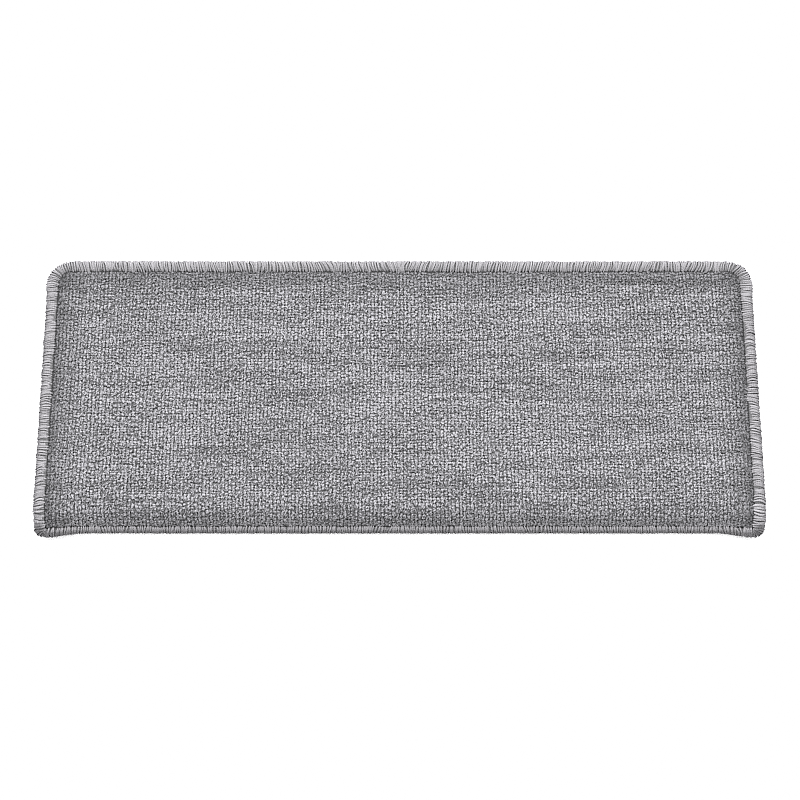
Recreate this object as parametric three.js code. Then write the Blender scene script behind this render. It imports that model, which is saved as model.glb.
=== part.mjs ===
// Carpet stair tread mat with a bent front edge (a "nose" that laps over the front of the step).
//
// A rectangle of loop-pile carpet, 650 x 275 mm when flat, is bonded to a thin rubbery anti-slip
// backing. The sheet lies flat over the tread and its front 37 mm is heat-set downwards round a
// small radius, so that it grips the nosing of the step. The two ends of the bent lip flare a little,
// because the thick corner stitching resists the bend. A wrapped (overlocked) yarn edge runs all
// round the sheet, over the pile, round the cut edge and under the backing, in one closed ring.
//
// Frame: +Z up, +X along the width, the bent nose faces -Y. The mat lies as it comes to rest on a
// floor, on its rear edge and on the tip of the lip, so the tread panel rises gently to the front.
// The origin is at the centre of the bounding box's underside. Millimetres.

import * as THREE from "three";
import { ParametricGeometry } from "three/addons/geometries/ParametricGeometry.js";

// ---------- driving dimensions, mm and degrees ----------
const WIDTH = 650; // over the wrapped edge, along the step
const TREAD_DEPTH = 238; // flat panel, rear edge to the start of the bend
const LIP_LENGTH = 37; // developed length of the bent nose, bend included
const BACK_CORNER_R = 23; // rear corners, flat pattern
const FRONT_CORNER_R = 11; // lip corners, flat pattern

const BEND_LENGTH = 22; // arc over which the nose turns down
const BEND_ANGLE = 73; // turn of the lip below the panel, along the middle of the width
const CORNER_FLARE = 22; // how much less the lip is turned at its two ends
const FLARE_WIDTH = 44; // length of that flare at each end

const BACKING_T = 2.0; // anti-slip backing
const PILE_H = 4.6; // carpet above the bond line, out in the field
const PILE_H_EDGE = 2.4; // the same, where the yarn edge squeezes it
const BOND_GAP = 0.2; // clearance at the bond line

const YARN_T = 1.8; // yarn wrap outside the cut edge
const MID_IN = 6.5; // middle of the margin under the wrap
const SQUEEZE_IN = 11.9; // squeezed margin ends this far in from the outer edge
const FIELD_IN = 12.9; // and the full pile starts here

const REST_TILT = 5.0; // first value for the rise of the panel, refined below

// Section of the wrapped yarn edge: n inwards is negative, from the outer edge; h from the bond line.
const EDGE_SECTION = [
  [-11.4, 3.1], [-10.7, 3.9], [-8.8, 4.5], [-6.2, 4.6], [-3.6, 4.3], [-1.8, 3.4], [-0.6, 2.1],
  [0.0, 0.6], [-0.3, -0.8], [-1.2, -2.0], [-2.6, -2.8], [-4.6, -3.1], [-9.8, -3.1], [-11.3, -2.75],
  [-11.3, -2.35], [-6.5, -2.35], [-1.5, -2.35], [-1.5, 2.7], [-6.5, 2.7], [-11.4, 2.7],
];

// ---------- flat pattern ----------
const HALF = WIDTH / 2;
const LENGTH = TREAD_DEPTH + LIP_LENGTH;
const ARC = 4; // segments in an eighth of a turn at each corner
const STRAIGHT_X = [0]; // fractions of the straight run, close together where the lip flares
for (let x = 276; x <= 314; x += 3.8) STRAIGHT_X.push(x / 314), STRAIGHT_X.unshift(-x / 314);
const BEND_STEPS = 10;
const STRAIGHT_S = [BACK_CORNER_R];
for (let i = 0; i <= BEND_STEPS; i++) STRAIGHT_S.push(TREAD_DEPTH + (BEND_LENGTH * i) / BEND_STEPS);
STRAIGHT_S.push(LENGTH - FRONT_CORNER_R);
const COLS = STRAIGHT_X.length - 1 + 2 * ARC;
const ROWS = STRAIGHT_S.length - 1 + 2 * ARC;

// A corner of the outline, set in by `inset`. turn 0 lies on the straight end edge, 90 on the side.
function cornerPoint(side, front, turn, inset) {
  const r0 = front ? FRONT_CORNER_R : BACK_CORNER_R;
  const r = Math.max(r0 - inset, 0.4);
  const t = THREE.MathUtils.degToRad(turn);
  const x = HALF - inset - r + r * Math.sin(t);
  const s = r - r * Math.cos(t) + inset;
  return [side * x, front ? LENGTH - s : s];
}

// Point of one closed ring of the rectangular grid, on the outline set in by `inset`.
// ring 0 is the grid's outermost ring; (i, j) is the grid row and column of the point.
function ringPoint(i, j, ring, inset) {
  const fromLeft = j - ring, fromRight = COLS - ring - j;
  const fromBack = i - ring, fromFront = ROWS - ring - i;
  const arc = ARC - ring;
  const front = fromFront < fromBack;
  const side = fromLeft < fromRight ? -1 : 1;
  if (fromBack === 0 || fromFront === 0) {
    const q = Math.min(fromLeft, fromRight);
    if (q <= arc) return cornerPoint(side, front, 45 - (45 * q) / arc, inset);
    const r = Math.max((front ? FRONT_CORNER_R : BACK_CORNER_R) - inset, 0.4);
    const x = STRAIGHT_X[j - ARC] * (HALF - inset - r);
    return [x, front ? LENGTH - inset : inset];
  }
  const q = Math.min(fromBack, fromFront);
  if (q <= arc) return cornerPoint(side, front, 45 + (45 * q) / arc, inset);
  return [side * (HALF - inset), STRAIGHT_S[i - ARC]];
}

// ---------- from flat pattern to bent mat ----------
const smooth = (u) => { const t = Math.min(Math.max(u, 0), 1); return t * t * (3 - 2 * t); };

// x across, s along the sheet from its rear edge, h above the bond line -> bent, panel level
function bent(x, s, h) {
  const flare = CORNER_FLARE * smooth((Math.abs(x) - (HALF - FLARE_WIDTH)) / FLARE_WIDTH);
  const angle = THREE.MathUtils.degToRad(BEND_ANGLE - flare);
  const u = Math.min(Math.max((s - TREAD_DEPTH) / BEND_LENGTH, 0), 1);
  let y = Math.min(s, TREAD_DEPTH), z = 0;
  const N = 240;
  for (let k = 0; k < N; k++) {
    const a = angle * smooth((u * (k + 0.5)) / N);
    y += (Math.cos(a) * u * BEND_LENGTH) / N;
    z -= (Math.sin(a) * u * BEND_LENGTH) / N;
  }
  const a = angle * smooth(u);
  const over = Math.max(s - TREAD_DEPTH - BEND_LENGTH, 0);
  y += over * Math.cos(a) + h * Math.sin(a);
  z += -over * Math.sin(a) + h * Math.cos(a);
  return new THREE.Vector3(x, -y, z);
}

// ---------- sheets: a box of grid cells, its vertices laid out on the pattern and bent ----------
// rings: inset and height of the upper face on the grid's outer rings; the field keeps the last one.
// quarterTurn swaps the diagonals of the cells, so that the two faces at the bond line have the same
// ones and stay parallel where the nose twists.
function sheet(name, material, rings, under, quarterTurn) {
  const g = quarterTurn
    ? new THREE.BoxGeometry(ROWS, COLS, 1, ROWS, COLS, 1).rotateZ(Math.PI / 2)
    : new THREE.BoxGeometry(COLS, ROWS, 1, COLS, ROWS, 1);
  const p = g.getAttribute("position");
  const last = rings.length - 1;
  for (let v = 0; v < p.count; v++) {
    const j = Math.round(p.getX(v) + COLS / 2);
    const i = Math.round(ROWS / 2 - p.getY(v)); // row 0 is the rear edge
    const ring = Math.min(i, j, ROWS - i, COLS - j);
    let x, s;
    if (ring <= last) [x, s] = ringPoint(i, j, ring, rings[ring][0]);
    else {
      // inside the last ring: a patch stretched between that ring's four sides
      const inset = rings[last][0];
      const at = (a, b) => ringPoint(a, b, last, inset);
      const u = (j - last) / (COLS - 2 * last), w = (i - last) / (ROWS - 2 * last);
      const [L, R] = [at(i, last), at(i, COLS - last)];
      const [B, F] = [at(last, j), at(ROWS - last, j)];
      const [BL, BR] = [at(last, last), at(last, COLS - last)];
      const [FL, FR] = [at(ROWS - last, last), at(ROWS - last, COLS - last)];
      const coons = (k) =>
        (1 - u) * L[k] + u * R[k] + (1 - w) * B[k] + w * F[k] -
        ((1 - u) * (1 - w) * BL[k] + u * (1 - w) * BR[k] + (1 - u) * w * FL[k] + u * w * FR[k]);
      x = coons(0);
      // rows on the straight sides run straight across, so the bend is clean
      s = i > ARC && i < ROWS - ARC ? L[1] : coons(1);
    }
    const up = p.getZ(v) > 0;
    const h = up ? rings[Math.min(ring, last)][1] : under;
    const q = bent(x, s, h);
    p.setXYZ(v, q.x, q.y, q.z);
  }
  g.computeVertexNormals();
  const mesh = new THREE.Mesh(g, material);
  mesh.name = name;
  return mesh;
}

// ---------- wrapped edge: the yarn section carried once round the outline ----------
function edgeRing(name, material) {
  const stations = [];
  for (let j = 0; j < COLS; j++) stations.push([0, j]);
  for (let i = 0; i < ROWS; i++) stations.push([i, COLS]);
  for (let j = COLS; j > 0; j--) stations.push([ROWS, j]);
  for (let i = ROWS; i > 0; i--) stations.push([i, 0]);
  const n = stations.length, m = EDGE_SECTION.length;
  const g = new ParametricGeometry((u, v, target) => {
    const [i, j] = stations[Math.round(u * n) % n];
    const [inwards, h] = EDGE_SECTION[Math.round(v * m) % m];
    const [x, s] = ringPoint(i, j, 0, -inwards);
    target.copy(bent(x, s, h));
  }, n, m);
  g.computeVertexNormals();
  const mesh = new THREE.Mesh(g, material);
  mesh.name = name;
  return mesh;
}

const pileMaterial = new THREE.MeshStandardMaterial({ color: 0x9b9a9e, roughness: 0.95, metalness: 0 });
const backingMaterial = new THREE.MeshStandardMaterial({ color: 0x4a4b4e, roughness: 0.85, metalness: 0 });
const yarnMaterial = new THREE.MeshStandardMaterial({ color: 0xa9a7ab, roughness: 0.8, metalness: 0 });

const carpet = sheet("loop_pile_carpet", pileMaterial,
  [[YARN_T, PILE_H_EDGE], [MID_IN, PILE_H_EDGE], [SQUEEZE_IN, PILE_H_EDGE], [FIELD_IN, PILE_H]],
  BOND_GAP / 2, false);
const backing = sheet("anti_slip_backing", backingMaterial,
  [YARN_T, MID_IN, SQUEEZE_IN, FIELD_IN].map((inset) => [inset, -BOND_GAP / 2]), -BACKING_T, true);
const edge = edgeRing("overlocked_yarn_edge", yarnMaterial);

// ---------- rest pose ----------
// The panel rises about X until the rear edge and the tip of the lip stand on the same level.
function lowest(tilt, test) {
  const p = edge.geometry.getAttribute("position");
  const c = Math.cos(tilt), d = Math.sin(tilt);
  let low = Infinity;
  for (let v = 0; v < p.count; v++)
    if (test(p.getY(v))) low = Math.min(low, p.getZ(v) * c - p.getY(v) * d);
  return low;
}
let tilt = THREE.MathUtils.degToRad(REST_TILT);
for (let k = 0; k < 30; k++) {
  const gap = lowest(tilt, (y) => y < -LENGTH / 2) - lowest(tilt, (y) => y > -LENGTH / 4);
  tilt -= gap / TREAD_DEPTH;
}
const toRest = new THREE.Matrix4().makeRotationX(-tilt);
const box = new THREE.Box3();
for (const m of [carpet, backing, edge]) {
  m.geometry.applyMatrix4(toRest);
  m.geometry.computeBoundingBox();
  box.union(m.geometry.boundingBox);
}
const mat = new THREE.Group();
mat.name = "stair_tread_mat";
for (const m of [carpet, backing, edge]) {
  m.position.set(0, -(box.min.y + box.max.y) / 2, -box.min.z);
  mat.add(m);
}

export default mat;
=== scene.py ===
"""Looks of the carpet stair tread mat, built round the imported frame.

Everything is laid out on the flat pattern of the mat, in millimetres: x across, s from the rear edge
towards the bent nose, h above the bond line between the pile and its backing. place() bends the
pattern round the nose and sets it down in the rest pose, exactly as the CAD solids are.
"""
import math

import bpy
import numpy as np
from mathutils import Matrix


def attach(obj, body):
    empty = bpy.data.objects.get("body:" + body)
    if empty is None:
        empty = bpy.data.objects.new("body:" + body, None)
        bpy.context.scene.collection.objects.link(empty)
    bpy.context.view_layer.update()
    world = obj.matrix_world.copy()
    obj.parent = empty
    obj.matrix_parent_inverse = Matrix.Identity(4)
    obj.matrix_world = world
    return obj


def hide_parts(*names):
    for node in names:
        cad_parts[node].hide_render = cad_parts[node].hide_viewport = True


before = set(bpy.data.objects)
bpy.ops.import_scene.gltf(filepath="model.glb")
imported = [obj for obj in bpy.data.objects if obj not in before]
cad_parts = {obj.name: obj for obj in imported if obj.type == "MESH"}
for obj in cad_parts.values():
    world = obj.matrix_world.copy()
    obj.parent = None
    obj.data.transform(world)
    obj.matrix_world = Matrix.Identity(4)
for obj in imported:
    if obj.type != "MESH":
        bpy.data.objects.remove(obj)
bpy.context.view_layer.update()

# ---------- the shape, as in the CAD source (mm, degrees) ----------
HALF = 325.0
LENGTH = 275.0
TREAD = 238.0
BEND_LENGTH = 22.0
BEND_ANGLE = 73.0
CORNER_FLARE = 22.0
FLARE_WIDTH = 44.0
R_BACK = 23.0
R_FRONT = 11.0
TILT = 0.0907672  # rise of the panel at rest, radians
REST = (133.7824, 2.6703)  # where the flat pattern's origin comes to rest, Y and Z
CUT = 1.8  # the sheets' cut edge lies this far inside the wrapped edge
PILE_IN = 12.0  # the outermost loops of the pile stand this far inside it


def smooth(u):
    u = np.clip(u, 0.0, 1.0)
    return u * u * (3.0 - 2.0 * u)


def place(x, s, h):
    """Flat pattern to the row frame at rest, in metres."""
    x, s, h = (np.asarray(a, float).ravel() for a in np.broadcast_arrays(x, s, h))
    turn = np.radians(BEND_ANGLE - CORNER_FLARE * smooth((np.abs(x) - (HALF - FLARE_WIDTH)) / FLARE_WIDTH))
    u = np.clip((s - TREAD) / BEND_LENGTH, 0.0, 1.0)
    y, z = np.minimum(s, TREAD), np.zeros_like(s)
    m = u > 0
    k = (np.arange(64) + 0.5) / 64
    phi = turn[m][:, None] * smooth(u[m][:, None] * k)
    y[m] += np.cos(phi).mean(1) * u[m] * BEND_LENGTH
    z[m] -= np.sin(phi).mean(1) * u[m] * BEND_LENGTH
    phi = turn * smooth(u)
    over = np.maximum(s - TREAD - BEND_LENGTH, 0.0)
    y = -(y + over * np.cos(phi) + h * np.sin(phi))
    z = z - over * np.sin(phi) + h * np.cos(phi)
    c, d = math.cos(TILT), math.sin(TILT)
    return np.stack([x, c * y + d * z + REST[0], -d * y + c * z + REST[1]], 1) / 1000.0


def inset_of(x, s):
    """How far a point of the flat pattern lies inside the wrapped outer edge."""
    r = np.where(s < LENGTH / 2, R_BACK, R_FRONT)
    dx = np.abs(x) - (HALF - r)
    ds = np.where(s < LENGTH / 2, r - s, s - (LENGTH - r))
    return r - np.hypot(np.maximum(dx, 0), np.maximum(ds, 0)) - np.minimum(np.maximum(dx, ds), 0)


def to_outline(x, s, inset):
    """The nearest point of the outline set in by inset, for points of a ring near the edge."""
    r = np.where(s < LENGTH / 2, R_BACK, R_FRONT)
    cx, cs = HALF - r, np.where(s < LENGTH / 2, r, LENGTH - r)
    ax = np.abs(x)
    ds = np.where(s < LENGTH / 2, cs - s, s - cs)
    dx = ax - cx
    corner = (dx > 0) & (ds > 0)
    g = np.maximum(np.hypot(dx, ds), 1e-9)
    side = ~corner & (dx >= ds)
    nx = np.where(corner, cx + dx / g * (r - inset), np.where(side, HALF - inset, ax))
    nd = np.where(corner, ds / g * (r - inset), np.where(side, ds, r - inset))
    ns = np.where(s < LENGTH / 2, cs - nd, cs + nd)
    return np.sign(x) * nx, ns


def field(shape, sigma, seed):
    """Smooth random field of unit spread; sigma is its grain in cells, one number or (rows, columns)."""
    sy, sx = (sigma, sigma) if np.isscalar(sigma) else sigma
    a = np.random.default_rng(seed).standard_normal(shape)
    fy, fx = np.fft.fftfreq(shape[0])[:, None], np.fft.rfftfreq(shape[1])[None, :]
    a = np.fft.irfft2(np.fft.rfft2(a) * np.exp(-2 * math.pi**2 * ((fy * sy) ** 2 + (fx * sx) ** 2)), s=shape)
    return (a - a.mean()) / a.std()


def outward(co, tris, quads):
    """Turns the faces of a closed mesh so that they look outwards."""
    parts = [tris] if not len(quads) else [tris, quads[:, :3], quads[:, [0, 2, 3]]]
    t = np.concatenate(parts)
    volume = np.einsum("ij,ij->i", co[t[:, 0]], np.cross(co[t[:, 1]], co[t[:, 2]])).sum()
    return (tris, quads) if volume > 0 else (tris[:, ::-1], quads[:, ::-1])


def even(shape, sigma, seed):
    """Random field of unit spread whose neighbours differ: white noise less its own local mean."""
    a = field(shape, 0.3, seed)
    f = np.fft.rfft2(a)
    fy, fx = np.fft.fftfreq(shape[0])[:, None], np.fft.rfftfreq(shape[1])[None, :]
    a = np.fft.irfft2(f * (1 - np.exp(-2 * math.pi**2 * (fy * fy + fx * fx) * sigma * sigma)), s=shape)
    return a / a.std()


def mesh_of(name, co, tris, quads=None, uv=None, uv_name="UVMap", values=None, vectors=None):
    """A smooth-shaded closed mesh from arrays. values and vectors are attributes of its points."""
    tris = np.asarray(tris, np.int32).reshape(-1, 3)
    quads = np.zeros((0, 4), np.int32) if quads is None else np.asarray(quads, np.int32).reshape(-1, 4)
    tris, quads = outward(co, tris, quads)
    loops = np.concatenate([tris.ravel(), quads.ravel()])
    starts = np.concatenate([np.arange(len(tris)) * 3, len(tris) * 3 + np.arange(len(quads)) * 4])
    me = bpy.data.meshes.new(name)
    me.vertices.add(len(co))
    me.vertices.foreach_set("co", np.ascontiguousarray(co, np.float32).ravel())
    me.loops.add(len(loops))
    me.loops.foreach_set("vertex_index", loops.astype(np.int32))
    me.polygons.add(len(starts))
    me.polygons.foreach_set("loop_start", starts.astype(np.int32))
    me.update(calc_edges=True)
    me.polygons.foreach_set("use_smooth", np.ones(len(starts), bool))
    if uv is not None:
        layer = me.uv_layers.new(name=uv_name)
        layer.data.foreach_set("uv", np.ascontiguousarray(uv[loops], np.float32).ravel())
    for key, v in (values or {}).items():
        at = me.attributes.new(key, "FLOAT", "POINT")
        at.data.foreach_set("value", np.ascontiguousarray(v, np.float32).ravel())
    for key, v in (vectors or {}).items():
        at = me.attributes.new(key, "FLOAT_VECTOR", "POINT")
        at.data.foreach_set("vector", np.ascontiguousarray(v, np.float32).ravel())
    me.validate()
    o = bpy.data.objects.new(name, me)
    bpy.context.scene.collection.objects.link(o)
    return o


def zip_lines(a, ka, b, kb):
    """Triangles between two lines of points, a and b, sorted by their keys ka and kb."""
    out, i, j = [], 0, 0
    while i < len(a) - 1 or j < len(b) - 1:
        if j == len(b) - 1 or (i < len(a) - 1 and ka[i + 1] <= kb[j + 1]):
            out.append((a[i], b[j], a[i + 1]))
            i += 1
        else:
            out.append((a[i], b[j], b[j + 1]))
            j += 1
    return out


def closed_sheet(X, S, H, face_tris, h_edge, h_far, facing):
    """Closes a detailed lattice face into a sheet: a skirt out to the cut edge, a wall, and a plain far face.

    X, S, H are the lattice (rows by columns) with any extra points after it; facing is +1 if the detailed
    face looks up. Returns flat-pattern points and triangles."""
    rows, cols = X.shape
    idx = np.arange(rows * cols).reshape(rows, cols)
    rim = np.concatenate([idx[0, :-1], idx[:-1, -1], idx[-1, :0:-1], idx[:0:-1, 0]])
    pts = [np.stack([X.ravel(), S.ravel(), H.ravel()], 1)]
    n0 = rows * cols
    rx, rs = X.ravel()[rim], S.ravel()[rim]
    ox, os_ = to_outline(rx, rs, CUT)
    k = len(rim)
    pts.append(np.stack([ox, os_, np.full(k, h_edge)], 1))
    pts.append(np.stack([ox, os_, np.full(k, h_far)], 1))
    pts.append(np.stack([rx, rs, np.full(k, h_far)], 1))
    A, B, C, D = rim, n0 + np.arange(k), n0 + k + np.arange(k), n0 + 2 * k + np.arange(k)
    t = [np.asarray(face_tris).reshape(-1, 3)]
    for p, q in ((A, B), (B, C), (C, D)):
        p2, q2 = np.roll(p, -1), np.roll(q, -1)
        # the rim runs along row 0 towards +x first, so outwards is on its right
        t.append(np.stack([p, q, q2], 1))
        t.append(np.stack([p, q2, p2], 1))
    # far face: columns between the rims, few in the flat middle, more where the nose flares
    inner = np.array([-313, -309, -304, -299, -294, -289, -284, -280, 0, 280, 284, 289, 294, 299, 304, 309, 313], float)
    n1 = n0 + 3 * k
    left = np.concatenate([[D[0]], D[:-(rows - 1) - 1:-1]]) if rows > 1 else D[:1]
    right = D[cols - 1:cols - 1 + rows]
    sl = S[:, 0]
    gx, gs = np.meshgrid(inner, sl[1:-1])
    pts.append(np.stack([gx.ravel(), gs.ravel(), np.full(gx.size, h_far)], 1))
    m = len(inner)
    far = []
    for i in range(rows - 2):
        row = np.concatenate([[left[i + 1]], n1 + i * m + np.arange(m), [right[i + 1]]])
        if i:
            for c in range(m + 1):
                far.append((prev[c], row[c], row[c + 1]))
                far.append((prev[c], row[c + 1], prev[c + 1]))
        else:
            first = row
        prev = row
    kx = np.concatenate([[X[0, 0]], inner, [X[0, -1]]])
    top, bottom = D[:cols], D[cols - 1 + rows - 1:cols - 1 + rows - 1 + cols][::-1]
    far += zip_lines(list(top), list(X[0]), list(first), list(kx))
    far += zip_lines(list(prev), list(kx), list(bottom), list(X[-1]))
    t.append(np.array(far))
    pts, t = np.concatenate(pts), np.concatenate(t)
    return pts, (t if facing > 0 else t[:, ::-1])


# ---------- camera ----------
# Long lens, looking down at the mat from in front, as in the photograph.
ELEVATION = math.radians(70.477)
DISTANCE = 2.3146
TARGET = (0.0, -0.005145, 0.012)
cam_data = bpy.data.cameras.new("camera")
cam_data.sensor_width = 36.0
cam_data.lens = 2557.3 / 800 * 36.0
cam_data.shift_x = 0.5 / 800
cam_data.clip_end = 50.0
cam = bpy.data.objects.new("camera", cam_data)
cam.location = (TARGET[0], TARGET[1] - DISTANCE * math.cos(ELEVATION), TARGET[2] + DISTANCE * math.sin(ELEVATION))
cam.rotation_euler = (math.pi / 2 - ELEVATION, 0.0, 0.0)
bpy.context.scene.collection.objects.link(cam)
bpy.context.scene.camera = cam

# ---------- material helpers ----------


class Nodes:
    def __init__(self, name):
        self.mat = bpy.data.materials.new(name)
        self.mat.use_nodes = True
        self.t = self.mat.node_tree
        self.t.nodes.clear()
        self.out = self.t.nodes.new("ShaderNodeOutputMaterial")
        self.bsdf = self.t.nodes.new("ShaderNodeBsdfPrincipled")
        self.link(self.bsdf.outputs["BSDF"], self.out.inputs["Surface"])

    def link(self, a, b):
        self.t.links.new(a, b)

    def put(self, value, socket):
        if hasattr(value, "links") or isinstance(value, bpy.types.NodeSocket):
            self.link(value, socket)
        else:
            socket.default_value = value

    def math(self, op, a, b=None, c=None, clamp=False):
        n = self.t.nodes.new("ShaderNodeMath")
        n.operation, n.use_clamp = op, clamp
        for v, s in zip((a, b, c), n.inputs):
            if v is not None:
                self.put(v, s)
        return n.outputs[0]

    def xyz(self, x=0.0, y=0.0, z=0.0):
        n = self.t.nodes.new("ShaderNodeCombineXYZ")
        for v, s in zip((x, y, z), n.inputs):
            self.put(v, s)
        return n.outputs[0]

    def split(self, v):
        n = self.t.nodes.new("ShaderNodeSeparateXYZ")
        self.link(v, n.inputs[0])
        return n.outputs[0], n.outputs[1], n.outputs[2]

    def noise(self, vector, scale, detail=2.0, rough=0.5):
        n = self.t.nodes.new("ShaderNodeTexNoise")
        self.put(vector, n.inputs["Vector"])
        n.inputs["Scale"].default_value = scale
        n.inputs["Detail"].default_value = detail
        n.inputs["Roughness"].default_value = rough
        return n.outputs["Fac"], n.outputs["Color"]

    def white(self, vector):
        n = self.t.nodes.new("ShaderNodeTexWhiteNoise")
        n.noise_dimensions = "3D"
        self.put(vector, n.inputs["Vector"])
        return n.outputs["Value"], n.outputs["Color"]

    def ramp(self, value, low, high, out_low=0.0, out_high=1.0):
        n = self.t.nodes.new("ShaderNodeMapRange")
        n.interpolation_type = "SMOOTHSTEP"
        self.put(value, n.inputs["Value"])
        for key, v in (("From Min", low), ("From Max", high), ("To Min", out_low), ("To Max", out_high)):
            self.put(v, n.inputs[key])
        return n.outputs["Result"]

    def mix(self, fac, a, b):
        n = self.t.nodes.new("ShaderNodeMix")
        n.data_type = "RGBA"
        self.put(fac, n.inputs[0])
        self.put(a, n.inputs[6])
        self.put(b, n.inputs[7])
        return n.outputs[2]

    def attribute(self, name):
        n = self.t.nodes.new("ShaderNodeAttribute")
        n.attribute_name = name
        return n.outputs["Fac"]

    def vector(self, name):
        n = self.t.nodes.new("ShaderNodeAttribute")
        n.attribute_name = name
        return n.outputs["Vector"]

    def scaled(self, v, by):
        n = self.t.nodes.new("ShaderNodeVectorMath")
        n.operation = "MULTIPLY"
        self.link(v, n.inputs[0])
        n.inputs[1].default_value = by
        return n.outputs[0]

    def uv(self, name):
        n = self.t.nodes.new("ShaderNodeUVMap")
        n.uv_map = name
        return n.outputs["UV"]

    def place(self):
        return self.t.nodes.new("ShaderNodeTexCoord").outputs["Object"]

    def bump(self, height, strength, distance, under=None):
        n = self.t.nodes.new("ShaderNodeBump")
        n.inputs["Strength"].default_value = strength
        n.inputs["Distance"].default_value = distance
        self.put(height, n.inputs["Height"])
        if under is not None:
            self.link(under, n.inputs["Normal"])
        return n.outputs["Normal"]

    def set(self, **sockets):
        for key, v in sockets.items():
            self.put(v, self.bsdf.inputs[key.replace("_", " ")])


# ---------- loop pile ----------
COLUMNS, ROWS = 190, 96  # loops across, and from back to front
PITCH_X, PITCH_S = 3.305, 2.612
S0 = (LENGTH - ROWS * PITCH_S) / 2
GROUND = 2.1  # the woven ground that the loops stand in


def make_ground():
    i, j = np.arange(COLUMNS // 2 + 1), np.arange(ROWS // 2 + 1)
    x, s = np.meshgrid((i - COLUMNS / 4) * 2 * PITCH_X, S0 + j * 2 * PITCH_S)
    h = GROUND + 0.12 * field(x.shape, 0.4, 10)
    idx = np.arange(x.size).reshape(x.shape)
    a, b, c, d = idx[:-1, :-1].ravel(), idx[:-1, 1:].ravel(), idx[1:, 1:].ravel(), idx[1:, :-1].ravel()
    tris = np.concatenate([np.stack([a, b, c], 1), np.stack([a, c, d], 1)])
    pts, tris = closed_sheet(x, s, h, tris, 2.1, 0.1, +1)
    return mesh_of("pile_ground", place(*pts.T), tris, values={"inset": inset_of(pts[:, 0], pts[:, 1])})


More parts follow.
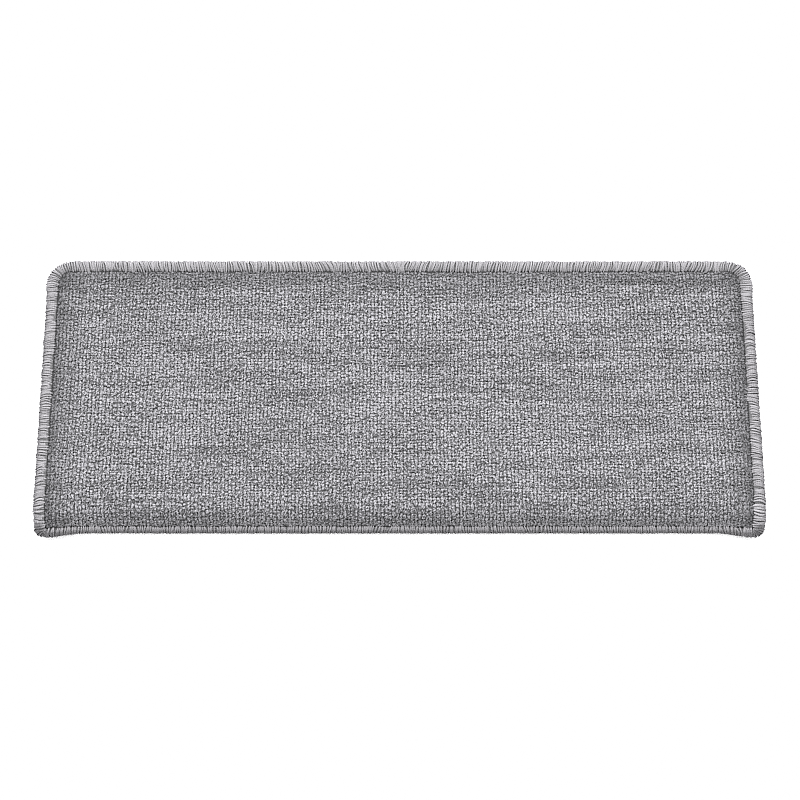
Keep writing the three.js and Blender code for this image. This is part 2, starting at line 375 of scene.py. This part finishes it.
def make_loops():
    """Every loop of yarn as its own closed bead: up out of the ground, over, and down again."""
    shape = (ROWS, COLUMNS)
    jj, ii = np.meshgrid(np.arange(ROWS), np.arange(COLUMNS), indexing="ij")
    f = lambda sigma, seed: field(shape, sigma, seed)
    # rows and stitches wander, and each loop stands a little off its place and leans its own way
    x = (ii + 0.5 - COLUMNS / 2) * PITCH_X + 0.24 * f((5, 6), 11) + 0.06 * f(1.0, 12) + 0.25 * even(shape, 0.8, 13)
    s = S0 + (jj + 0.5) * PITCH_S + 0.22 * f((6, 5), 14) + 0.06 * f(1.0, 15) + 0.42 * even(shape, 0.8, 16) + 0.34 * field((1, COLUMNS), 0.3, 37)
    angle = np.radians(10 * f(1.6, 17) + 22 * f(0.3, 18))
    lean_x = 0.10 * f(3.0, 19) + 0.08 * f(0.3, 20)
    lean_s = 0.10 * f(3.0, 21) + 0.10 * f(0.3, 22)
    high = np.clip(0.04 * f(4.0, 23) + 0.10 * even(shape, 0.6, 24), -0.7, 0.45)
    high = np.where(f(0.3, 25) > 2.3, -0.8, high)
    long = np.clip(1.0 + 0.07 * even(shape, 1.0, 26), 0.72, 1.25)
    wide = np.clip(1.04 + 0.07 * even(shape, 1.0, 27), 0.75, 1.3)
    # the shade of the heather yarn: it drifts along the rows, and every loop shows its own part of it
    shade = 0.082 * f((0.35, 5.5), 31) + 0.012 * f((3, 9), 32) + 0.025 * f(1.4, 36) + 0.02 * even(shape, 0.6, 34)
    m = inset_of(x, s)
    keep = m > PILE_IN
    # painted shade: the pile next to the wrapped edge is painted a little darker, more at the rear than at the front
    # and most at the sides
    across, along = HALF - np.abs(x), np.minimum(s, LENGTH - s)
    edge = 0.06 * (1 - smooth((m - 12) / 40)) + (0.15 + 0.12 * (s < LENGTH / 2)) * (1 - smooth((along - 12) / 26)) + 0.19 * (1 - smooth((across - 12) / 28)) + 0.19 * (1 - smooth((across - 12) / 8))
    painted_edge_shade = np.clip(1 - 1.2 * edge, 0.4, 1)
    squash = smooth((m - PILE_IN + 1.5) / 9.0)
    # a loop is a small arch: a narrow foot in the ground, its widest ring, a shoulder and a crown
    foot, ring = np.radians([45, 135, 225, 315]), np.radians(22.5 + 45 * np.arange(8))
    round8 = lambda half_w, half_c: (half_w * 1.06 * np.sin(ring), half_c * 1.06 * np.cos(ring))
    (w1, c1), (w2, c2) = round8(1.60, 1.60), round8(1.28, 1.12)
    W = np.concatenate([1.1 * np.sin(foot), w1, w2, [0.0]])
    C = np.concatenate([1.3 * np.cos(foot), c1, c2, [0.0]])
    H = np.concatenate([np.full(4, 1.3), 3.22 - 0.10 * (w1 / 1.60) ** 2, 3.74 - 0.06 * (w2 / 1.28) ** 2, [3.92]])
    tri = [(0, 1, 2), (0, 2, 3)]
    for q in range(4):
        r = (q + 1) % 4
        a, b, c = 4 + 2 * q, 5 + 2 * q, 4 + (2 * q + 2) % 8
        tri += [(q, a, b), (q, b, c), (q, c, r)]
    for q in range(8):
        r = (q + 1) % 8
        tri += [(4 + q, 12 + q, 12 + r), (4 + q, 12 + r, 4 + r), (12 + q, 20, 12 + r)]
    tri = np.array(tri)
    rng = np.random.default_rng(35)
    parts = []
    for name, lo, hi in (("loops_rear", 0, 25), ("loops_mid_rear", 25, 49), ("loops_mid_front", 49, 73), ("loops_front", 73, ROWS)):
        use = keep & (jj >= lo) & (jj < hi)
        get = lambda q: q[use][:, None]
        n = int(use.sum())
        # no two alike: each point of the arch is a little off its place
        own_w, own_c, own_h = (r * rng.standard_normal((n, len(W))).clip(-2, 2) for r in (0.10, 0.10, 0.09))
        w, c = (W[None] + own_w) * get(long), (C[None] + own_c) * get(wide)
        h = 1.3 + (H[None] - 1.3) * (1 + get(high) / 3.6) * (0.66 + 0.34 * get(squash)) + own_h * (H[None] > 2)
        rise = (h - 1.35) / 3.0
        px = get(x) + w * np.sin(get(angle)) + c * np.cos(get(angle)) + get(lean_x) * rise * 2
        ps = get(s) + w * np.cos(get(angle)) - c * np.sin(get(angle)) + get(lean_s) * rise * 2
        own = np.stack([w + 40 * rng.random((n, 1)), c + 40 * rng.random((n, 1)), h + 40 * rng.random((n, 1))], -1)
        t = (tri[None] + len(W) * np.arange(n)[:, None, None]).reshape(-1, 3)
        parts.append(mesh_of(
            name, place(px.ravel(), ps.ravel(), h.ravel()), t,
            values={"shade": np.repeat(shade[use], len(W)), "painted_edge_shade": np.repeat(painted_edge_shade[use], len(W)), "height": h},
            vectors={"own": own.reshape(-1, 3)},
        ))
    return parts


def loop_material():
    n = Nodes("heather_loop_yarn")
    own = n.vector("own")
    w, c, _ = n.split(own)
    shade, height = n.attribute("shade"), n.attribute("height")
    # two plies twisted together, one lighter than the other, and the fibres in them
    turn = n.math("ADD", n.math("MULTIPLY", w, 0.36), n.math("MULTIPLY", c, 0.50))
    bend, _ = n.noise(own, 0.6, 1.0)
    twist = n.math("SINE", n.math("MULTIPLY", n.math("ADD", turn, n.math("MULTIPLY", bend, 0.5)), 6.2832))
    blob, _ = n.noise(n.place(), 700.0, 1.0, 0.5)
    fibre, _ = n.noise(n.scaled(own, (2.2, 9.0, 6.0)), 1.0, 3.0, 0.6)
    k = n.math("ADD", 0.46, shade)
    k = n.math("ADD", k, n.math("MULTIPLY", twist, 0.20))
    k = n.math("ADD", k, n.math("MULTIPLY", n.math("SUBTRACT", blob, 0.5), 3.1))
    k = n.math("ADD", k, n.math("MULTIPLY", n.math("SUBTRACT", fibre, 0.5), 0.5), clamp=True)
    yarn = n.mix(k, (0.055, 0.055, 0.0575, 1), (0.338, 0.334, 0.353, 1))
    # painted shade: dark between the plies, and down where the loops stand close together
    yarn = n.mix(n.ramp(twist, -1.0, -0.72, 0.65, 1.0), (0.04, 0.04, 0.042, 1), yarn)
    col = n.mix(n.ramp(height, 2.2, 3.4, 0.92, 1.0), (0.02, 0.02, 0.021, 1), yarn)
    # painted shade next to the wrapped edge of the mat
    col = n.mix(n.attribute("painted_edge_shade"), (0.003, 0.003, 0.003, 1), col)
    n.set(Base_Color=col, Roughness=0.9, Specular_IOR_Level=0.25, Sheen_Weight=0.1, Sheen_Roughness=0.5)
    n.link(n.bump(n.math("ADD", n.math("MULTIPLY", twist, 0.6), n.math("MULTIPLY", fibre, 0.8)), 0.6, 0.0003), n.bsdf.inputs["Normal"])
    return n.mat


def ground_material():
    n = Nodes("pile_ground")
    f, _ = n.noise(n.place(), 700.0, 3.0)
    # the ground's own grey, painted darker as shade deep between the loops
    col = n.mix(f, (0.10, 0.10, 0.103, 1), (0.21, 0.21, 0.216, 1))
    # painted shade: the ground darker next to the wrapped edge, along the seam
    col = n.mix(n.ramp(n.attribute("inset"), 12.0, 14.4, 0.12, 1.0), (0.02, 0.02, 0.021, 1), col)
    n.set(Base_Color=col, Roughness=0.95)
    n.link(n.bump(f, 0.6, 0.0004), n.bsdf.inputs["Normal"])
    return n.mat


# ---------- wrapped yarn edge ----------
STRAND = 1.64  # pitch of the wrap, measured 2.5 mm inside the outer edge
# centre line of one turn of yarn: (inset, h), from the needle line on the pile side round to the underside
TURN = [
    (11.1, 1.6), (10.95, 2.3), (10.25, 3.05), (8.6, 3.75), (6.2, 4.15), (4.0, 3.95), (2.3, 3.35), (1.0, 2.25),
    (0.3, 0.75), (0.6, -0.55), (1.6, -1.5), (3.0, -2.05), (4.8, -2.3), (9.4, -2.35), (11.0, -2.25), (11.7, -1.95),
]


def around(t, inset):
    """Point and edge direction at t (mm along the line 2.5 mm inside the edge, starting rear left)."""
    xb, xf = HALF - R_BACK, HALF - R_FRONT
    sb, sf = R_BACK, LENGTH - R_FRONT
    ab, af = (R_BACK - 2.5) * math.pi / 2, (R_FRONT - 2.5) * math.pi / 2
    runs = [
        ("line", 2 * xb, (-xb, None, 1, 0), "back"), ("arc", ab, (xb, sb, -90), R_BACK),
        ("line", sf - sb, (None, sb, 0, 1), "right"), ("arc", af, (xf, sf, 0), R_FRONT),
        ("line", 2 * xf, (xf, None, -1, 0), "front"), ("arc", af, (-xf, sf, 90), R_FRONT),
        ("line", sf - sb, (None, sf, 0, -1), "left"), ("arc", ab, (-xb, sb, 180), R_BACK),
    ]
    total = sum(r[1] for r in runs)
    t = np.mod(t, total)
    x, s = np.zeros_like(t), np.zeros_like(t)
    ex, es = np.zeros_like(t), np.zeros_like(t)
    squeeze = np.ones_like(t)
    at = 0.0
    for kind, length, data, what in runs:
        m = (t >= at) & (t < at + length)
        w = t[m] - at
        if kind == "line":
            x0, s0, dx, ds = data
            ins = inset[m]
            x[m] = x0 + w * dx if x0 is not None else (HALF - ins if what == "right" else -(HALF - ins))
            s[m] = s0 + w * ds if s0 is not None else (ins if what == "back" else LENGTH - ins)
            ex[m], es[m] = dx, ds
        else:
            cx, cs, start = data
            a = np.radians(start) + w / (what - 2.5)
            r = np.maximum(what - inset[m], 0.5)
            x[m], s[m] = cx + r * np.cos(a), cs + r * np.sin(a)
            ex[m], es[m] = -np.sin(a), np.cos(a)
            squeeze[m] = np.clip((what - inset[m]) / (what - 2.5), 0.28, 1.3)
        at += length
    return x, s, ex, es, squeeze, total


def make_wraps():
    total = around(np.zeros(1), np.zeros(1))[5]
    # the turns stand further apart where they fan out round the corners
    fine = np.linspace(0, total, 8001)
    fx, fs = around(fine[:-1], np.full(8000, 2.5))[:2]
    fr = np.where(fs < LENGTH / 2, R_BACK, R_FRONT)
    fan = (np.abs(fx) > HALF - fr) & ((fs < fr) | (fs > LENGTH - fr))
    cover = np.concatenate([[0], np.cumsum(1 - 0.26 * fan)]) * total / 8000
    count = int(round(cover[-1] / STRAND))
    line = lambda sigma, seed: field((1, count), (0.0, sigma), seed)[0]
    t0 = np.interp((np.arange(count) + 0.5) * cover[-1] / count, cover, fine) + 0.25 * line(2.5, 42) + 0.22 * line(0.3, 43)
    turn = np.array(TURN)
    m = len(turn)
    x0, s0, *_ = around(t0, np.full(count, 2.5))
    rear, front = smooth((R_BACK + 14 - s0) / 14), smooth((s0 - (LENGTH - R_FRONT - 8)) / 8)
    straight = smooth((HALF - 6 - np.abs(x0)) / 26)
    # on the pile side the turns slant, away from the middle of the mat at its rear and sides
    slant = -np.sign(x0) * (2.3 * rear * straight + 0.5 * (1 - rear) * (1 - front))
    slant = np.where(np.abs(x0) < 14, slant * np.abs(x0) / 14, slant) + np.tanh(x0 / 20) * 0.8 * front * straight
    slant = np.where((s0 > 30) & (np.abs(x0) > HALF - 6), -slant * np.sign(x0) * np.sign(-x0), slant)
    slant += 0.95 * line(3.0, 44) + 0.75 * line(0.5, 45)
    bow = 0.45 * line(2.0, 57) + 0.45 * line(0.4, 58)
    low = 0.9 + 0.5 * line(4.0, 46) + 0.3 * line(0.5, 47)
    ins, h = turn[:, 0][None, :], turn[:, 1][None, :]
    share = np.clip((ins - 0.8) / 10.0, 0, 1)
    upper = (np.arange(m) <= 8)[None, :]
    t = t0[:, None] + share * np.where(upper, slant[:, None], low[:, None]) + np.sin(share * math.pi) * bow[:, None]
    # each turn lies a little higher or lower than the next, and the needle line wanders
    lift = np.clip(0.24 * line(0.3, 48) + 0.08 * line(3.0, 49), -0.45, 0.5)
    lift = lift * (1 - 0.5 * front * straight) * (1 - 0.2 * rear * straight) * np.where(straight < 0.5, 1.3, 1.0) * np.where((s0 > 30) & (s0 < LENGTH - 30), 0.8, 1.0)
    needle = 0.35 * line(2.0, 50) + 0.42 * line(0.3, 51)
    inner = np.clip((ins - 8.0) / 3.0, 0, 1)
    needle = needle * np.where((rear < 0.5) & (front < 0.5), 1.4, 1.0)
    ins2 = ins + needle[:, None] * inner * np.where(upper, 1.0, 0.6)
    # the rear edge is a little fuller, and the turns end nearer the edge at the sides
    seam = np.clip((ins - 5.0) / 5.0, 0, 1) * upper
    ins2 = ins2 + (0.25 * rear * straight - 0.80 * (1 - rear) * (1 - front))[:, None] * seam
    ins2 = ins2 - 0.85 * rear[:, None] * np.clip((2.5 - ins) / 2.0, 0, 1)
    h2 = h + 0 * t
    # direction of the turn in its own section, and its outward normal
    dn, dh = np.gradient(turn[:, 0]), np.gradient(turn[:, 1])
    g = np.hypot(dn, dh)
    on, oh = (dh / g)[None, :], (-dn / g)[None, :]
    x, s, ex, es, squeeze, _ = around(t.ravel(), ins2.ravel())
    x, s, ex, es, squeeze = (q.reshape(count, m) for q in (x, s, ex, es, squeeze))
    # unit vector from outside inwards along the pattern: the inset direction
    ix, is_ = -es, ex
    width = 0.5 * STRAND * squeeze * (1.05 + 0.06 * front + 0.07 * line(0.3, 52))[:, None]
    ends = np.array([0.5, 0.75, 0.95] + [1.0] * (m - 6) + [0.95, 0.8, 0.55])[None, :]
    width = np.maximum(width * ends, 0.2)
    thick = (0.50 + 0.03 * line(0.4, 53))[:, None] * np.where(ends < 0.9, 0.75, 1.0) * np.clip(squeeze + 0.3, 0.6, 1.0)
    sec = [(-1.0, -0.75), (-0.74, 0.42), (0.0, 0.86), (0.74, 0.42), (1.0, -0.75)]
    P = []
    for a, b in sec:
        off = b * thick + lift[:, None] * np.where(ends < 0.9, 0.0, 1.0) * np.where(np.arange(m) > 9, 0.25, 1.0)[None, :]
        P.append(np.stack([x + a * width * ex + on * off * ix, s + a * width * es + on * off * is_, h2 + oh * off], -1))
    P = np.stack(P, 2)  # strand, station, side, xyz
    k = len(sec)
    idx = np.arange(count * m * k).reshape(count, m, k)
    a, b = idx[:, :-1, :], idx[:, 1:, :]
    a2, b2 = np.roll(a, -1, 2), np.roll(b, -1, 2)
    quads = np.stack([a, a2, b2, b], -1).reshape(-1, 4)
    caps = []
    for c in range(1, k - 1):
        caps.append(np.stack([idx[:, 0, 0], idx[:, 0, c + 1], idx[:, 0, c]], 1))
        caps.append(np.stack([idx[:, -1, 0], idx[:, -1, c], idx[:, -1, c + 1]], 1))
    caps = np.concatenate(caps)
    co = place(*P.reshape(-1, 3).T)
    # where the mat rests on its edge the yarn is pressed flat
    flat = 0.0006
    co[:, 2] = np.where(co[:, 2] < flat, flat * np.exp(np.minimum(co[:, 2] / flat, 1.0) - 1.0), co[:, 2])
    # shade of each turn: mostly mid grey, some light, a few dark, in loose groups
    own = 0.95 * even((1, count), 1.5, 54)[0] + 0.15 * line(3.0, 55)
    along = field((count, m), (0.3, 0.9), 56)
    shade = 0.51 + 0.03 * own[:, None] + 0.04 * along
    # painted shade where the edge turns down at the sides and the lip, and next to the seam at the rear
    sides = (1 - rear) * (1 - front)
    shade -= (0.03 + 0.17 * smooth((4.8 - ins) / 3.4)) * sides[:, None] + 0.17 * rear[:, None] * smooth((ins - 2.5) / 7.0) * upper
    shade = 0.52 + (shade - 0.52) * (1 - 0.5 * front[:, None])
    # painted shade on the outer turns of the lip, with a painted highlight at its very edge
    shade += front[:, None] * (0.02 - 0.42 * smooth((9.9 - ins) / 3.2) + 0.06 * smooth((4.0 - ins) / 3.0))
    # painted highlight on the outer round of the rear edge
    shade += 0.05 * (rear * straight)[:, None] * smooth((4.0 - ins) / 3.0)
    shade = np.clip(shade, 0, 1)
    shade = np.repeat(shade.reshape(count, m, 1), k, 2).ravel()
    run = np.concatenate([[0], np.cumsum(np.hypot(np.diff(turn[:, 0]), np.diff(turn[:, 1])))])
    uv = np.zeros((count, m, k, 2))
    uv[..., 0] = np.arange(k)[None, None, :] / k + np.arange(count)[:, None, None] * 3
    uv[..., 1] = run[None, :, None]
    return mesh_of("yarn_wraps", co, caps, quads, uv.reshape(-1, 2), "yarn", {"shade": shade})


def make_core():
    """The layer of yarn that shows dark between the turns of the wrap; its dark colour is painted shade."""
    sec = [
        (10.3, 2.55), (9.4, 3.05), (8.0, 3.5), (6.2, 3.65), (4.0, 3.4), (2.6, 2.85), (1.6, 1.9), (0.9, 0.6),
        (1.05, -0.5), (1.5, -1.4), (2.1, -2.12), (1.72, -2.08), (1.72, 2.5), (10.3, 2.4),
    ]
    total = around(np.zeros(1), np.zeros(1))[5]
    count = 520
    t = np.arange(count) * total / count
    P = []
    for ins, h in sec:
        x, s, *_ = around(t, np.full(count, ins))
        P.append(np.stack([x, s, np.full(count, h)], -1))
    P = np.stack(P, 1)
    k = len(sec)
    idx = np.arange(count * k).reshape(count, k)
    nxt = np.roll(idx, -1, 0)
    a, b, c, d = idx, np.roll(idx, -1, 1), np.roll(nxt, -1, 1), nxt
    quads = np.stack([a, d, c, b], -1).reshape(-1, 4)
    return mesh_of("edge_core", place(*P.reshape(-1, 3).T), [], quads, values={"run": np.repeat(t, k)})


def wrap_material():
    n = Nodes("wrapped_yarn")
    u, v, _ = n.split(n.uv("yarn"))
    shade = n.attribute("shade")
    fibre, _ = n.noise(n.xyz(n.math("MULTIPLY", u, 9.0), n.math("MULTIPLY", v, 0.7), 0.0), 1.0, 3.0, 0.6)
    twist = n.math("SINE", n.math("ADD", n.math("MULTIPLY", u, 12.566), n.math("MULTIPLY", v, 3.1)))
    k = n.math("ADD", shade, n.math("MULTIPLY", n.math("SUBTRACT", fibre, 0.5), 0.42))
    k = n.math("ADD", k, n.math("MULTIPLY", twist, 0.06), clamp=True)
    col = n.mix(k, (0.05, 0.049, 0.052, 1), (0.445, 0.435, 0.455, 1))
    # painted shade: each turn darker towards its sides, where it dips between its neighbours
    edge = n.math("ABSOLUTE", n.math("SUBTRACT", n.math("FRACT", u), 0.4))
    col = n.mix(n.ramp(edge, 0.15, 0.40, 1.0, 0.80), (0.02, 0.02, 0.021, 1), col)
    n.set(Base_Color=col, Roughness=0.6, Specular_IOR_Level=0.35, Sheen_Weight=0.15, Sheen_Roughness=0.4)
    n.link(n.bump(n.math("ADD", n.math("MULTIPLY", twist, 0.5), fibre), 0.5, 0.00025), n.bsdf.inputs["Normal"])
    return n.mat


def core_material():
    n = Nodes("wrap_core")
    f, _ = n.noise(n.place(), 900.0, 3.0)
    run = n.attribute("run")
    drift, _ = n.noise(n.place(), 260.0, 2.0)
    row = n.math("SINE", n.math("MULTIPLY", n.math("ADD", n.math("MULTIPLY", run, 0.7), n.math("MULTIPLY", drift, 1.6)), 6.2832))
    k = n.math("ADD", n.math("MULTIPLY", f, 0.6), n.math("MULTIPLY", row, 0.25), clamp=True)
    # painted shade: the yarn under the turns is coloured dark, as the shade between them
    n.set(Base_Color=n.mix(k, (0.08, 0.08, 0.082, 1), (0.25, 0.246, 0.255, 1)), Roughness=0.9)
    n.link(n.bump(n.math("ADD", row, f), 0.7, 0.0005), n.bsdf.inputs["Normal"])
    return n.mat


# ---------- anti-slip backing ----------
DOT = 9.0


def make_backing():
    nx, ns = 70, 28
    x1, s1 = nx * DOT / 2, (LENGTH - ns * DOT) / 2
    gx, gs = np.meshgrid(np.linspace(-x1, x1, nx + 1), s1 + np.arange(ns + 1) * DOT)
    idx = np.arange(gx.size).reshape(gx.shape)
    a, b, c, d = idx[:-1, :-1].ravel(), idx[:-1, 1:].ravel(), idx[1:, 1:].ravel(), idx[1:, :-1].ravel()
    cx, cs = ((gx[:-1, :-1] + gx[1:, 1:]) / 2).ravel(), ((gs[:-1, :-1] + gs[1:, 1:]) / 2).ravel()
    cells = len(a)
    # the lattice and its closing parts come first; the dots' points are added after them
    pts, rest = closed_sheet(gx, gs, np.full(gx.shape, -2.0), np.zeros((0, 3), int), -2.0, -0.1, -1)
    base = len(pts)
    ring = np.radians(np.arange(8) * 45 + 22.5)
    extra = []
    for r, h in ((2.45, -2.0), (2.1, -2.4), (1.35, -2.62)):
        extra.append(np.stack([cx[:, None] + r * np.cos(ring), cs[:, None] + r * np.sin(ring), np.full((cells, 8), h)], -1))
    extra = np.stack(extra, 1)  # cell, ring, corner, xyz
    e = base + np.arange(cells * 24).reshape(cells, 3, 8)
    corner = np.stack([c, d, a, b], 1)  # corners at 45, 135, 225 and 315 degrees
    t = []
    for q in range(4):
        k0, k1, k2, far = e[:, 0, 2 * q], e[:, 0, 2 * q + 1], e[:, 0, (2 * q + 2) % 8], corner[:, (q + 1) % 4]
        t += [np.stack([corner[:, q], k1, k0], 1), np.stack([corner[:, q], far, k1], 1), np.stack([far, k2, k1], 1)]
    for w in range(2):
        for q in range(8):
            p, p2 = e[:, w, q], e[:, w, (q + 1) % 8]
            o, o2 = e[:, w + 1, q], e[:, w + 1, (q + 1) % 8]
            t += [np.stack([p, p2, o2], 1), np.stack([p, o2, o], 1)]
    t += [np.stack([e[:, 2, 0], e[:, 2, q], e[:, 2, q + 1]], 1) for q in range(1, 7)]
    return np.concatenate([pts, extra.reshape(-1, 3)]), np.concatenate([rest, np.concatenate(t)[:, ::-1]])


def backing_object():
    pts, tris = make_backing()
    return mesh_of("rubber_backing", place(*pts.T), tris)


def rubber_material():
    n = Nodes("grip_rubber")
    p = n.place()
    f, _ = n.noise(p, 1400.0, 3.0)
    g, _ = n.noise(p, 45.0, 3.0)
    dust, _ = n.noise(p, 300.0, 2.0)
    col = n.mix(n.math("ADD", n.math("MULTIPLY", f, 0.5), n.math("MULTIPLY", g, 0.5)), (0.035, 0.036, 0.038, 1), (0.085, 0.086, 0.09, 1))
    n.set(Base_Color=col, Roughness=n.ramp(dust, 0.3, 0.7, 0.62, 0.82), Specular_IOR_Level=0.4)
    n.link(n.bump(f, 0.35, 0.0002), n.bsdf.inputs["Normal"])
    return n.mat


ground = make_ground()
ground.data.materials.append(ground_material())
loops = make_loops()
yarn = loop_material()
for piece in loops:
    piece.data.materials.append(yarn)
wraps = make_wraps()
wraps.data.materials.append(wrap_material())
core = make_core()
core.data.materials.append(core_material())
backing = backing_object()
backing.data.materials.append(rubber_material())

for pieces, node, slot in (
    ([ground] + loops, "loop_pile_carpet", "pile"),
    ([backing], "anti_slip_backing", "backing"),
    ([wraps, core], "overlocked_yarn_edge", "edge_yarn"),
):
    for piece in pieces:
        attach(piece, "root")
        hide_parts(node)

# ---------- floor and light ----------
bpy.ops.mesh.primitive_plane_add(size=9.0, location=(0, 0, 0))
floor = bpy.context.object
floor.name = "floor"
fm = Nodes("pale_floor")
fm.set(Base_Color=(0.93, 0.93, 0.93, 1), Roughness=0.95, Specular_IOR_Level=0.1)
floor.data.materials.append(fm.mat)

world = bpy.data.worlds.new("studio")
bpy.context.scene.world = world
world.use_nodes = True
# a light dome: bright overhead, dimmer towards the horizon
wt = world.node_tree
bg = wt.nodes["Background"]
bg.inputs["Color"].default_value = (1.0, 1.0, 1.0, 1.0)
rise = wt.nodes.new("ShaderNodeSeparateXYZ")
wt.links.new(wt.nodes.new("ShaderNodeTexCoord").outputs["Generated"], rise.inputs[0])
dome = wt.nodes.new("ShaderNodeMapRange")
dome.interpolation_type = "SMOOTHSTEP"
for key, v in (("From Min", 0.0), ("From Max", 0.9), ("To Min", 0.62), ("To Max", 2.0)):
    dome.inputs[key].default_value = v
wt.links.new(rise.outputs["Z"], dome.inputs["Value"])
wt.links.new(dome.outputs["Result"], bg.inputs["Strength"])


def area(name, at, to, size, power):
    d = bpy.data.lights.new(name, "AREA")
    d.shape, d.size, d.size_y, d.energy = "RECTANGLE", size[0], size[1], power
    o = bpy.data.objects.new(name, d)
    o.location = at
    v = [to[q] - at[q] for q in range(3)]
    from mathutils import Vector
    o.rotation_euler = Vector(v).to_track_quat("-Z", "Y").to_euler()
    bpy.context.scene.collection.objects.link(o)
    return o


area("key", (-0.2, 1.5, 2.2), (0, 0, 0), (2.6, 2.0), 68.0)
area("fill", (0.5, -1.3, 2.6), (0, 0, 0), (2.4, 1.8), 7.0)

sc = bpy.context.scene
sc.view_settings.view_transform = "Standard"
sc.view_settings.look = "None"
sc.view_settings.exposure = 0.0
sc.view_settings.gamma = 1.0
# the pile is finer than a denoiser keeps
sc.cycles.use_denoising = False

# the crisp finish of a product photograph: a sharpening of the picture, done on display values
sc.use_nodes = True
ct = sc.node_tree
ct.nodes.clear()
layers = ct.nodes.new("CompositorNodeRLayers")
cap = ct.nodes.new("CompositorNodeMixRGB")
cap.blend_type = "DARKEN"
cap.inputs[0].default_value = 1.0
cap.inputs[2].default_value = (1.0, 1.0, 1.0, 1.0)
encode = ct.nodes.new("CompositorNodeGamma")
encode.inputs[1].default_value = 1 / 2.2
crisp = ct.nodes.new("CompositorNodeFilter")
crisp.filter_type = "SHARPEN"
crisp.inputs[0].default_value = 0.132
decode = ct.nodes.new("CompositorNodeGamma")
decode.inputs[1].default_value = 2.2
done = ct.nodes.new("CompositorNodeComposite")
ct.links.new(layers.outputs["Image"], cap.inputs[1])
ct.links.new(cap.outputs[0], encode.inputs[0])
ct.links.new(encode.outputs[0], crisp.inputs[1])
ct.links.new(crisp.outputs[0], decode.inputs[0])
ct.links.new(decode.outputs[0], done.inputs[0])
